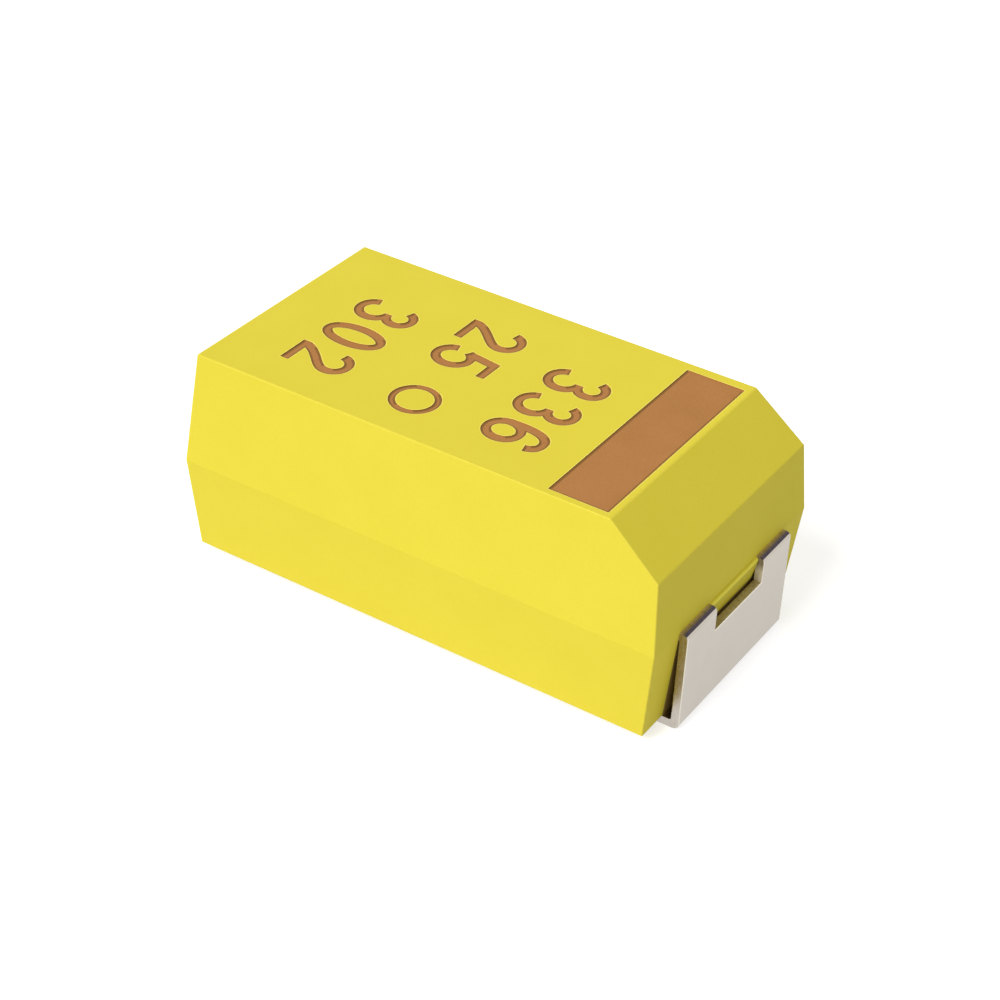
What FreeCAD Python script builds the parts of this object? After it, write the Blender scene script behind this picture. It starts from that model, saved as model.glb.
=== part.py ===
"""Moulded-case tantalum chip capacitor with its inner pieces, in millimetres.

The origin is in the middle of the seating plane, under the two feet. +X points to the
anode end, which has the polarity bevel and the polarity stripe, and +Z points up.
"""
import FreeCAD, Part
import os
import re
import Sketcher
from FreeCAD import Vector

# Driving dimensions: name, value in millimetres or degrees, and what it measures
SIZES = [
    ("case_length", "5.8", "case, end to end at the parting line"),
    ("case_width", "3.2", "case, side to side at the parting line"),
    ("upper_height", "1.3", "parting line to the top face"),
    ("lower_height", "1.1", "parting line to the underside"),
    ("draft_angle", "5", "lean of every wall, both ways from the parting line"),
    ("edge_radius", "0.015", "rounding of the case's outer edges"),
    ("bevel_drop", "0.5", "polarity bevel, down from the top face"),
    ("bevel_run", "0.6", "polarity bevel, in from the anode end"),
    ("stripe_setback", "0.07", "bevel's upper edge to the stripe"),
    ("stripe_length", "0.68", "stripe, along the case"),
    ("stripe_margin", "0.085", "stripe to the long edges of the top face"),
    ("stripe_depth", "0.02", "stripe, below the top face"),
    ("glue_pad_length", "2.8", "raised pad under the case, between the feet"),
    ("glue_pad_width", "2.4", "raised pad, across the case"),
    ("glue_pad_height", "0.05", "raised pad, below the underside"),
    ("strip_thickness", "0.1", "metal strip of both terminals"),
    ("strip_width", "2.2", "terminals outside the case"),
    ("foot_length", "1.3", "foot, inwards from the terminal's outer face"),
    ("foot_outer_radius", "0.08", "outside of the bend between leg and foot"),
    ("foot_inner_radius", "0.02", "inside of that bend"),
    ("shoulder_radius", "0.06", "outside of the bend at the top of the leg"),
    ("notch_width", "1.0", "notch in the top of the leg"),
    ("notch_depth", "0.3", "notch, down the leg"),
    ("notch_inset", "0.2", "notch, into the case"),
    ("ledge_reach", "0.04", "case's ledge in the notch, beyond the end of the case"),
    ("shoulder_length", "0.45", "full-width strip inside the case"),
    ("inner_strip_width", "1.4", "strip further inside the case"),
    ("tab_length", "1.45", "anode strip, inwards from the end of the case"),
    ("paddle_setback", "0.76", "end of the cathode's paddle behind the pellet's face"),
    ("paddle_radius", "0.04", "inside of the cathode strip's bends"),
    ("riser_gap", "0.08", "coated pellet to the cathode strip's upright"),
    ("pellet_end_room", "0.87", "cathode end of the case to the coated pellet"),
    ("pellet_side_room", "0.5", "side of the case at the parting line to the bare pellet"),
    ("pellet_height", "1.3", "tantalum pellet"),
    ("pellet_radius", "0.12", "rounding of the pellet's long edges"),
    ("pellet_to_tab", "0.4", "pellet's face to the end of the anode tab"),
    ("dioxide_thickness", "0.03", "manganese dioxide coat"),
    ("graphite_thickness", "0.02", "graphite coat"),
    ("silver_thickness", "0.03", "silver coat"),
    ("coat_setback", "0.1", "each coat's rim behind the rim of the coat under it"),
    ("adhesive_thickness", "0.04", "silver adhesive between pellet and paddle"),
    ("adhesive_end_margin", "0.25", "silver adhesive to the paddle's ends"),
    ("adhesive_side_margin", "0.1", "silver adhesive to the paddle's sides"),
    ("wire_diameter", "0.3", "anode wire"),
    ("wire_depth", "1.0", "anode wire inside the pellet"),
    ("wire_overlap", "0.65", "anode wire along the anode tab"),
    ("weld_sink", "0.03", "anode wire sunk into the tab by its weld"),
    ("washer_diameter", "0.8", "insulating washer round the wire"),
    ("washer_thickness", "0.1", "insulating washer along the wire"),
]
SIZE_NAMES = [name for name, number, meaning in SIZES]

# Heights above the seating plane
UNDERSIDE = "strip_thickness"
PARTING = "(strip_thickness + lower_height)"
CASE_TOP = f"({PARTING} + upper_height)"
STRIP_UNDER = f"({PARTING} - strip_thickness)"
WIRE_AXIS = f"({PARTING} - weld_sink + wire_diameter / 2)"
ALL_COATS = "(dioxide_thickness + graphite_thickness + silver_thickness)"
PELLET_UNDER = f"({WIRE_AXIS} - pellet_height / 2)"
COATED_UNDER = f"({PELLET_UNDER} - {ALL_COATS})"
PADDLE_TOP = f"({COATED_UNDER} - adhesive_thickness)"

# Places along the case
CASE_END = "(case_length / 2)"
LEG_FACE = f"({CASE_END} + strip_thickness)"
FOOT_END = f"({LEG_FACE} - foot_length)"
SHOULDER_END = f"({CASE_END} - shoulder_length)"
BEVEL_FOOT = f"({CASE_END} - (upper_height - bevel_drop) * tan(draft_angle))"
BEVEL_EDGE = f"({BEVEL_FOOT} - bevel_run)"
STRIPE_FRONT = f"({BEVEL_EDGE} - stripe_setback)"
TAB_END = f"({CASE_END} - tab_length)"
PELLET_FRONT = f"({TAB_END} - pellet_to_tab)"
COATED_BACK = f"(-{CASE_END} + pellet_end_room)"
PELLET_BACK = f"({COATED_BACK} + {ALL_COATS})"
RISER_FACE = f"({COATED_BACK} - riser_gap)"
PADDLE_END = f"({PELLET_FRONT} - paddle_setback)"

# Places across the case
TOP_HALF_WIDTH = "(case_width / 2 - upper_height * tan(draft_angle))"
PELLET_HALF_WIDTH = "(case_width / 2 - pellet_side_room)"

# How near two places are that count as the same one
TOUCH = 1e-6

doc = FreeCAD.newDocument("tantalum_capacitor")


def sheet_expression(text):
    """Turn the plain names of sizes into references to the sheet's cells."""
    def cell(match):
        word = match.group()
        return "Sizes." + word if word in SIZE_NAMES else word
    return re.sub(r"[a-z_]+", cell, text)


def value(text):
    """The number that an expression of sizes has now."""
    return float(sheet.evalExpression(sheet_expression(text)))


def bind(thing, prop, text):
    """Tie a property to an expression of sizes."""
    thing.setExpression(prop, sheet_expression(text))


def make_sheet():
    """The sheet of driving dimensions."""
    made = doc.addObject("Spreadsheet::Sheet", "Sizes")
    for row, (name, number, meaning) in enumerate(SIZES, start=1):
        made.set(f"A{row}", name)
        made.set(f"B{row}", number)
        made.set(f"C{row}", meaning)
        made.setAlias(f"B{row}", name)
    doc.recompute()
    return made


def new_body(name):
    return doc.addObject("PartDesign::Body", name)


def sketch_on(body, name, role, height=None):
    """An empty sketch on one of the body's own origin planes, or raised above it."""
    plane = next(item for item in body.Origin.OriginFeatures if item.Role == role)
    sketch = body.newObject("Sketcher::SketchObject", name)
    sketch.AttachmentSupport = [(plane, "")]
    sketch.MapMode = "FlatFace"
    if height is not None:
        bind(sketch, "AttachmentOffset.Base.z", height)
    return sketch


def draw_outline(sketch, corners):
    """A closed outline of straight lines through corners given as pairs of expressions."""
    spots = [Vector(value(across), value(up), 0) for across, up in corners]
    count = len(spots)
    for index in range(count):
        sketch.addGeometry(Part.LineSegment(spots[index], spots[(index + 1) % count]))
    for index in range(count):
        following = (index + 1) % count
        sketch.addConstraint(Sketcher.Constraint("Coincident", index, 2, following, 1))
    for index, corner in enumerate(corners):
        for kind, text in zip(("DistanceX", "DistanceY"), corner):
            place = spots[index].x if kind == "DistanceX" else spots[index].y
            number = sketch.addConstraint(Sketcher.Constraint(kind, -1, 1, index, 1, place))
            label = f"corner_{index}_{kind}"
            sketch.renameConstraint(number, label)
            bind(sketch, "Constraints." + label, text)


def draw_rectangle(sketch, low_across, high_across, low_up, high_up):
    corners = [(low_across, low_up), (high_across, low_up)]
    corners += [(high_across, high_up), (low_across, high_up)]
    draw_outline(sketch, corners)


def draw_circle(sketch, across, up, diameter):
    centre = Vector(value(across), value(up), 0)
    sketch.addGeometry(Part.Circle(centre, Vector(0, 0, 1), value(diameter) / 2))
    rules = [("DistanceX", across, centre.x), ("DistanceY", up, centre.y)]
    for kind, text, place in rules:
        number = sketch.addConstraint(Sketcher.Constraint(kind, -1, 1, 0, 3, place))
        sketch.renameConstraint(number, "centre_" + kind)
        bind(sketch, "Constraints.centre_" + kind, text)
    number = sketch.addConstraint(Sketcher.Constraint("Diameter", 0, value(diameter)))
    sketch.renameConstraint(number, "diameter")
    bind(sketch, "Constraints.diameter", diameter)


def pad(body, name, sketch, length, symmetric=False, reverse=False):
    feature = body.newObject("PartDesign::Pad", name)
    feature.Profile = sketch
    feature.SideType = "Symmetric" if symmetric else "One side"
    feature.Reversed = reverse
    bind(feature, "Length", length)
    doc.recompute()
    return feature


def pocket(body, name, sketch, length, symmetric=False):
    """A pocket against the sketch's normal, or to both sides of it; it has to cut."""
    before = body.Shape.Volume
    feature = body.newObject("PartDesign::Pocket", name)
    feature.Profile = sketch
    feature.SideType = "Symmetric" if symmetric else "One side"
    bind(feature, "Length", length)
    doc.recompute()
    if not body.Shape.Volume < before:
        raise RuntimeError(f"{name} cuts nothing")
    return feature


def round_edges(body, name, radius, wanted):
    """Round the edges of the body's last feature that the test picks."""
    base = body.Tip
    edges = base.Shape.Edges
    picked = [f"Edge{number}" for number, edge in enumerate(edges, start=1) if wanted(edge)]
    if not picked:
        raise RuntimeError(f"{name} finds no edge")
    feature = body.newObject("PartDesign::Fillet", name)
    feature.Base = (base, picked)
    bind(feature, "Radius", radius)
    doc.recompute()
    return feature


def draft_walls(body, name, neutral_plane, above):
    """Lean the upright walls on one side of the parting plane inwards."""
    base = body.Tip
    parting = value(PARTING)
    picked = []
    for number, face in enumerate(base.Shape.Faces, start=1):
        upright = abs(face.normalAt(0, 0).z) < TOUCH
        if upright and (face.CenterOfMass.z > parting) == above:
            picked.append(f"Face{number}")
    feature = body.newObject("PartDesign::Draft", name)
    feature.Base = (base, picked)
    feature.NeutralPlane = (neutral_plane, [""])
    feature.Reversed = not above
    bind(feature, "Angle", "draft_angle")
    doc.recompute()
    return feature


def cross_edge_at(along, up):
    """A test for edges that run across the case at one place in its side view."""
    place = (value(along), value(up))

    def wanted(edge):
        ends = [vertex.Point for vertex in edge.Vertexes]
        return all(abs(end.x - place[0]) < TOUCH and abs(end.z - place[1]) < TOUCH for end in ends)
    return wanted


def cut(name, base, tool):
    feature = doc.addObject("Part::Cut", name)
    feature.Base = base
    feature.Tool = tool
    feature.Label = name
    doc.recompute()
    return feature


def make_terminal_outside(body, side):
    """Foot, leg and the full-width strip that enters the case; side is '' or '-'."""
    profile = sketch_on(body, body.Name + "_outside_profile", "XZ_Plane")
    corners = [
        (side + FOOT_END, "0"),
        (side + LEG_FACE, "0"),
        (side + LEG_FACE, PARTING),
        (side + SHOULDER_END, PARTING),
        (side + SHOULDER_END, STRIP_UNDER),
        (side + CASE_END, STRIP_UNDER),
        (side + CASE_END, "strip_thickness"),
        (side + FOOT_END, "strip_thickness"),
    ]
    draw_outline(profile, corners)
    pad(body, body.Name + "_outside", profile, "strip_width", symmetric=True)


def bend_and_notch(body, side):
    """Round the outside bends, then cut the notch through leg and strip."""
    foot_corner = cross_edge_at(side + LEG_FACE, "0")
    round_edges(body, body.Name + "_foot_bend", "foot_outer_radius", foot_corner)
    inner_corner = cross_edge_at(side + CASE_END, "strip_thickness")
    round_edges(body, body.Name + "_foot_bend_inside", "foot_inner_radius", inner_corner)
    shoulder = cross_edge_at(side + LEG_FACE, PARTING)
    round_edges(body, body.Name + "_shoulder_bend", "shoulder_radius", shoulder)
    outline = sketch_on(body, body.Name + "_notch_outline", "XY_Plane", PARTING)
    inner = f"{side}({CASE_END} - notch_inset)"
    outer = f"{side}({LEG_FACE} + notch_inset)"
    draw_rectangle(outline, inner, outer, "-notch_width / 2", "notch_width / 2")
    pocket(body, body.Name + "_notch", outline, "notch_depth")


def make_anode_terminal(wire):
    """The anode's strip ends in a flat tab, grooved by the wire welded to it."""
    body = new_body("anode_strip")
    make_terminal_outside(body, "")
    profile = sketch_on(body, "anode_tab_profile", "XZ_Plane")
    draw_rectangle(profile, TAB_END, SHOULDER_END, STRIP_UNDER, PARTING)
    pad(body, "anode_tab", profile, "inner_strip_width", symmetric=True)
    bend_and_notch(body, "")
    return cut("anode_terminal", body, wire)


def make_cathode_terminal():
    """The cathode's strip steps down inside the case to the paddle under the pellet."""
    body = new_body("cathode_terminal")
    make_terminal_outside(body, "-")
    profile = sketch_on(body, "cathode_paddle_profile", "XZ_Plane")
    riser_back = f"({RISER_FACE} - strip_thickness)"
    paddle_under = f"({PADDLE_TOP} - strip_thickness)"
    corners = [
        (f"-{SHOULDER_END}", PARTING),
        (RISER_FACE, PARTING),
        (RISER_FACE, PADDLE_TOP),
        (PADDLE_END, PADDLE_TOP),
        (PADDLE_END, paddle_under),
        (riser_back, paddle_under),
        (riser_back, STRIP_UNDER),
        (f"-{SHOULDER_END}", STRIP_UNDER),
    ]
    draw_outline(profile, corners)
    pad(body, "cathode_paddle", profile, "inner_strip_width", symmetric=True)
    outer_radius = "(paddle_radius + strip_thickness)"
    bends = [
        ("step_top_bend", RISER_FACE, PARTING, outer_radius),
        ("step_top_bend_inside", riser_back, STRIP_UNDER, "paddle_radius"),
        ("step_foot_bend", riser_back, paddle_under, outer_radius),
        ("step_foot_bend_inside", RISER_FACE, PADDLE_TOP, "paddle_radius"),
    ]
    for name, along, up, radius in bends:
        round_edges(body, name, radius, cross_edge_at(along, up))
    bend_and_notch(body, "-")
    body.Label = "cathode_terminal"
    return body


def make_rod(name, start, length, diameter):
    """A round rod along the case on the wire's axis."""
    body = new_body(name)
    section = sketch_on(body, name + "_section", "YZ_Plane", start)
    draw_circle(section, "0", WIRE_AXIS, diameter)
    pad(body, name + "_rod", section, length)
    return body


def make_block(name, growth, setback):
    """The pellet's block, grown on five sides by its coats and set back at its front."""
    body = new_body(name)
    back = f"({PELLET_BACK} - {growth})"
    length = f"({PELLET_FRONT} - {setback} - {back})"
    section = sketch_on(body, name + "_section", "YZ_Plane", back)
    half_width = f"({PELLET_HALF_WIDTH} + {growth})"
    half_height = f"(pellet_height / 2 + {growth})"
    low = f"{WIRE_AXIS} - {half_height}"
    high = f"{WIRE_AXIS} + {half_height}"
    draw_rectangle(section, f"-{half_width}", half_width, low, high)
    pad(body, name + "_pad", section, length)
    rim = value(length)

    def long_edge(edge):
        return abs(edge.BoundBox.XLength - rim) < TOUCH
    round_edges(body, name + "_rounding", f"pellet_radius + {growth}", long_edge)
    return body


def make_coats(pellet_block):
    """The three coats over the pellet, each a cup that fits the one inside it."""
    coats = []
    inside = pellet_block
    growth = "0"
    layers = ["dioxide", "graphite", "silver"]
    labels = ["manganese_dioxide_coat", "graphite_coat", "silver_coat"]
    for rank, (layer, label) in enumerate(zip(layers, labels)):
        growth = f"({growth} + {layer}_thickness)"
        outside = make_block(layer + "_block", growth, f"{rank} * coat_setback")
        coats.append(cut(label, outside, inside))
        inside = outside
    return coats


def make_adhesive():
    """The patch of silver adhesive that holds the coated pellet on the paddle."""
    body = new_body("silver_adhesive")
    outline = sketch_on(body, "adhesive_outline", "XY_Plane", PADDLE_TOP)
    start = f"{RISER_FACE} + adhesive_end_margin"
    end = f"{PADDLE_END} - adhesive_end_margin"
    half_width = "(inner_strip_width / 2 - adhesive_side_margin)"
    draw_rectangle(outline, start, end, "-" + half_width, half_width)
    pad(body, "adhesive_patch", outline, "adhesive_thickness")
    body.Label = "silver_adhesive"
    return body


def add_notch_ledge(body, name, side):
    """The lower half's ledge that fills the back of a terminal's notch; side is '' or '-'."""
    profile = sketch_on(body, name + "_profile", "XZ_Plane")
    notch_floor = f"({PARTING} - notch_depth)"
    inner = f"{side}({CASE_END} - notch_inset)"
    corners = [
        (inner, PARTING),
        (f"{side}({CASE_END} + ledge_reach)", PARTING),
        (f"{side}({CASE_END} - notch_depth * tan(draft_angle))", notch_floor),
        (inner, notch_floor),
    ]
    draw_outline(profile, corners)
    pad(body, name, profile, "notch_width", symmetric=True)


def make_case_blank():
    """The case as the mould forms it outside, with bevel, stripe, ledges and glue pad."""
    body = new_body("case_blank")
    outline = sketch_on(body, "parting_outline", "XY_Plane", PARTING)
    half_width = "case_width / 2"
    draw_rectangle(outline, "-" + CASE_END, CASE_END, "-" + half_width, half_width)
    parting_plane = body.newObject("PartDesign::Plane", "parting_plane")
    parting_plane.AttachmentSupport = outline.AttachmentSupport
    parting_plane.MapMode = "FlatFace"
    bind(parting_plane, "AttachmentOffset.Base.z", PARTING)
    pad(body, "upper_half", outline, "upper_height")
    draft_walls(body, "upper_draft", parting_plane, above=True)
    pad(body, "lower_half", outline, "lower_height", reverse=True)
    draft_walls(body, "lower_draft", parting_plane, above=False)

    bevel = sketch_on(body, "bevel_outline", "XZ_Plane")
    bevel_foot = (BEVEL_FOOT, f"{CASE_TOP} - bevel_drop")
    beyond = (CASE_END, f"{CASE_TOP} + bevel_drop")
    draw_outline(bevel, [bevel_foot, beyond, (BEVEL_EDGE, CASE_TOP)])
    pocket(body, "polarity_bevel", bevel, "case_width * 2", symmetric=True)

    parting = value(PARTING)

    def outer_edge(edge):
        return any(abs(vertex.Point.z - parting) > TOUCH for vertex in edge.Vertexes)
    round_edges(body, "outer_rounding", "edge_radius", outer_edge)

    stripe = sketch_on(body, "stripe_outline", "XY_Plane", CASE_TOP)
    half_stripe = f"({TOP_HALF_WIDTH} - stripe_margin)"
    stripe_back = f"{STRIPE_FRONT} - stripe_length"
    draw_rectangle(stripe, stripe_back, STRIPE_FRONT, "-" + half_stripe, half_stripe)
    pocket(body, "polarity_stripe", stripe, "stripe_depth")

    glue_pad = sketch_on(body, "glue_pad_outline", "XY_Plane", UNDERSIDE)
    half_length = "glue_pad_length / 2"
    half_pad = "glue_pad_width / 2"
    draw_rectangle(glue_pad, "-" + half_length, half_length, "-" + half_pad, half_pad)
    pad(body, "glue_pad", glue_pad, "glue_pad_height", reverse=True)
    add_notch_ledge(body, "anode_ledge", "")
    add_notch_ledge(body, "cathode_ledge", "-")
    return body


def make_case(blank, held):
    """The case is moulded round what it holds, so those pieces shape its inside."""
    core = doc.addObject("Part::MultiFuse", "held_pieces")
    core.Shapes = held
    doc.recompute()
    return cut("moulded_case", blank, core)


def check_document():
    """Stop if any object failed to build."""
    for item in doc.Objects:
        if "Invalid" in item.State or "Error" in item.State:
            raise RuntimeError(f"{item.Name} failed: {item.State}")


def export_parts(parts):
    """Write each piece to its own file, named by its label."""
    os.makedirs("parts", exist_ok=True)
    for part in parts:
        shape = part.Shape
        if shape.isNull() or not shape.isValid() or len(shape.Solids) != 1:
            raise RuntimeError(f"{part.Label} is not one sound solid")
    for part in parts:
        part.Shape.exportStep(f"parts/{part.Label}.step")


sheet = make_sheet()

wire_length = "wire_depth + pellet_to_tab + wire_overlap"
wire = make_rod("tantalum_wire", f"{PELLET_FRONT} - wire_depth", wire_length, "wire_diameter")
anode_terminal = make_anode_terminal(wire)
cathode_terminal = make_cathode_terminal()

pellet_block = make_block("pellet_block", "0", "0")
pellet = cut("tantalum_pellet", pellet_block, wire)
coats = make_coats(pellet_block)
adhesive = make_adhesive()
washer_blank = make_rod("washer_blank", PELLET_FRONT, "washer_thickness", "washer_diameter")
washer = cut("insulating_washer", washer_blank, wire)

inner_pieces = [pellet, wire, washer, adhesive] + coats
held = [anode_terminal, cathode_terminal] + inner_pieces
case = make_case(make_case_blank(), held)

doc.recompute()
check_document()
export_parts([case] + held)
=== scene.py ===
"""Looks of a moulded tantalum chip capacitor: yellow epoxy case, sunk brown marks, tin plate.

Meshes are drawn in millimetres and scaled to metres at the end. +X is the anode end, which
has the bevel and the stripe, and the row's origin is in the middle of the seating plane.
"""
from math import cos, pi, radians, sin, tan

import bmesh
import bpy
from mathutils import Matrix, Vector, geometry


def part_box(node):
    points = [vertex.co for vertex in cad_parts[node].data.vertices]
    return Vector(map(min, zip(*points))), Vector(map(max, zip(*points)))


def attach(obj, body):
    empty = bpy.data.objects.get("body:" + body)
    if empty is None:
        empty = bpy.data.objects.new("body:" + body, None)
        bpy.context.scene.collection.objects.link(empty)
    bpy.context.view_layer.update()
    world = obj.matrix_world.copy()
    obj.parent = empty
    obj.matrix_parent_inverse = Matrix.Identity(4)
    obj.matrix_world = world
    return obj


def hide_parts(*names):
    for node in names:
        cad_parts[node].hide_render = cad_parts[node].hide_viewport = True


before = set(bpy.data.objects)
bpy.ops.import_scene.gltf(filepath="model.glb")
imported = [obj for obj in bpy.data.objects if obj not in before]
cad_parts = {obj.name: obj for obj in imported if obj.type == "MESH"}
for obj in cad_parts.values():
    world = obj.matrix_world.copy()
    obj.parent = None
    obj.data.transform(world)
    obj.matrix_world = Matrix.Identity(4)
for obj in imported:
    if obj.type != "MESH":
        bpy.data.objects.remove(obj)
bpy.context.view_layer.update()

MM = 0.001
TO_MM = 1 / MM

# How far the moulded ledge in each notch stands out from the case's end, in millimetres
LEDGE_REACH = 0.04

# Sizes read from the model's parts, in millimetres; the box ends at that ledge, the case rests on the feet
CASE_LOW, CASE_HIGH = [corner * TO_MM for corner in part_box("moulded_case")]
ANODE_LOW, ANODE_HIGH = [corner * TO_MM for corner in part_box("anode_terminal")]
CATHODE_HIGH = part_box("cathode_terminal")[1] * TO_MM
CASE_END = CASE_HIGH.x - LEDGE_REACH
CASE_SIDE = CASE_HIGH.y
CASE_TOP = CASE_HIGH.z
PARTING = ANODE_HIGH.z
LEG_FACE = ANODE_HIGH.x
STRIP = LEG_FACE - CASE_END
STRIP_SIDE = ANODE_HIGH.y
TAB_END = ANODE_LOW.x
PADDLE_END = CATHODE_HIGH.x
UNDERSIDE = STRIP

# Case, in millimetres and degrees
DRAFT = radians(5)
EDGE_RADIUS = 0.015
BEVEL_DROP = 0.5
BEVEL_RUN = 0.6
GLUE_PAD = (2.8, 2.4)
LEDGE_CHAMFER = 0.026
LEDGE_CORNER = 0.05
# Depth of the pocket behind each leg that carries painted shade
GAP_SHADE_DEPTH = 0.003

# Stripe: length, and how far it stays from the bevel and from the two sides
STRIPE_LENGTH = 0.68
STRIPE_SETBACK = 0.07
STRIPE_NEAR_MARGIN = 0.085
STRIPE_FAR_MARGIN = 0.135

# Sunk marks: depth, then width and height of the border at the foot and of the rim above
MARK_DEPTH = 0.012
MARK_FOOT = (0.026, 0.002)
MARK_RIM = (0.010, 0.0015)

# Terminals, in millimetres
FOOT_LENGTH = 1.3
FOOT_OUTER_RADIUS = 0.08
FOOT_INNER_RADIUS = 0.02
SHOULDER_RADIUS = 0.06
SHOULDER_LENGTH = 0.45
INNER_STRIP_WIDTH = 1.4
NOTCH_WIDTH = 1.0
NOTCH_DEPTH = 0.3
NOTCH_INSET = 0.2
PADDLE_RADIUS = 0.04
RISER_GAP = 0.08
SHEAR_ROUNDING = 0.010

# Part of the shoulder's radius, from the top, over which the painted reflection runs
PAINTED_REFLECTION_PART = 0.3

# Reaches from the middle between which the shoulder's painted reflection turns from brown to slate
SLATE_RANGE = (CASE_END + 0.008, LEG_FACE - 0.044)

# Heights between which a cut face turns from a pale painted reflection of the floor to brown, on a leg and
# in a notch
LEG_REFLECTION_BAND = (0.2, 0.55)
NOTCH_REFLECTION_BAND = (1.02, 1.12)

# Steps of the rounded forms
EDGE_STEPS = 3
LEDGE_STEPS = 3
SHEAR_STEPS = 2
FOOT_OUTER_STEPS = 8
FOOT_INNER_STEPS = 3
BEND_STEPS = 6
RING_STEPS = 48

# Places of the case's materials
EPOXY, BURNT, FOOT_SHADE, WALL_SHADE, EDGE_ROUNDING_TONE, RIM_HIGHLIGHT, GAP_SHADE, LEDGE, LEDGE_FACE = range(9)

# Places of the strips' materials
PLATED, SHOULDER_REFLECTION, CUT_SIDE, NOTCH_FLOOR, NOTCH_WALL, TIN_EDGE_HIGHLIGHT = range(6)

# Millimetres within which two points touch, and by which one lies clear of another
TOUCHING = 1e-4
CLEAR = 1e-3

# Angles at an edge: as good as flat, sharp enough to round, a crease, nearly square
FLAT = radians(0.5)
SHARP = radians(15)
CREASE = radians(40)
SQUARE = radians(60)

# How much of a face's normal points one way: edge on, aslant, rising, far side, facing, full on
EDGE_ON = 0.1
ASLANT = 0.2
RISING = 0.3
FAR_SIDE = 0.85
FACING = 0.9
FULL_ON = 0.98

# Digits: pitch and pen, then each row's digits, its baseline along X and its start across
DIGIT_PITCH = 0.58
PEN_UPRIGHT = 0.116
PEN_LEVEL = 0.102
MARK_ROWS = [
    ("336", 0.333, -0.607),
    ("25", -0.881, -0.896),
    ("302", -2.081, -0.607),
]
RING_CENTRE = (-0.47, 0.845)
RING_RADIUS = 0.24
RING_PEN = 0.075

# Outlines of the marks: least gap between points, sine of a bend to keep, least mitre
OUTLINE_GAP = 0.008
LEAST_BEND = 1e-3
MITRE_LIMIT = 0.4


def arc(centre, radii, start, end, steps):
    """Points along part of an ellipse, angles in degrees."""
    points = []
    for step in range(steps + 1):
        angle = radians(start + (end - start) * step / steps)
        points.append((centre[0] + radii[0] * cos(angle), centre[1] + radii[1] * sin(angle)))
    return points


def curve(start, pull_start, pull_end, end, steps):
    """Points along one smooth curve, drawn towards two pulls."""
    knots = [Vector((x, y)) for x, y in (start, pull_start, pull_end, end)]
    return [tuple(point) for point in geometry.interpolate_bezier(*knots, steps + 1)]


def new_object(name, bm):
    """An object in millimetres from a bmesh, which is freed."""
    mesh = bpy.data.meshes.new(name)
    bm.to_mesh(mesh)
    bm.free()
    made = bpy.data.objects.new(name, mesh)
    bpy.context.scene.collection.objects.link(made)
    return made


def prism(name, outline, low, high, place):
    """A closed solid: an outline in a plane, pushed from low to high.

    place turns (across, up, depth) into a point.
    """
    bm = bmesh.new()
    near = [bm.verts.new(place(a, b, low)) for a, b in outline]
    far = [bm.verts.new(place(a, b, high)) for a, b in outline]
    bm.faces.new(near)
    bm.faces.new(reversed(far))
    count = len(outline)
    for index in range(count):
        following = (index + 1) % count
        bm.faces.new([near[following], near[index], far[index], far[following]])
    bmesh.ops.recalc_face_normals(bm, faces=bm.faces)
    return new_object(name, bm)


def side_view(across, up, depth):
    return (across, depth, up)


def top_view(across, up, depth):
    return (across, up, depth)


def block(name, low, high):
    outline = [(low[0], low[1]), (high[0], low[1]), (high[0], high[1]), (low[0], high[1])]
    return prism(name, outline, low[2], high[2], top_view)


def settle(target):
    """Swap the mesh for what its modifiers make of it."""
    depsgraph = bpy.context.evaluated_depsgraph_get()
    made = bpy.data.meshes.new_from_object(
        target.evaluated_get(depsgraph), preserve_all_data_layers=True, depsgraph=depsgraph
    )
    target.modifiers.clear()
    old = target.data
    target.data = made
    bpy.data.meshes.remove(old)


def combine(base, tool, operation):
    """Boolean of two objects; the tool is used up."""
    modifier = base.modifiers.new(operation, "BOOLEAN")
    modifier.operation = operation
    modifier.solver = "EXACT"
    modifier.object = tool
    settle(base)
    old = tool.data
    bpy.data.objects.remove(tool)
    bpy.data.meshes.remove(old)


def bevel_sharp(bm, width, steps, wanted, material=-1):
    """Round the sharp edges that the test picks."""
    sharp = [edge for edge in bm.edges if edge.calc_face_angle(0) > SHARP and wanted(edge)]
    bmesh.ops.bevel(
        bm,
        geom=sharp,
        offset=width,
        offset_type="OFFSET",
        segments=steps,
        profile=0.5,
        affect="EDGES",
        clamp_overlap=True,
        material=material,
    )


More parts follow.
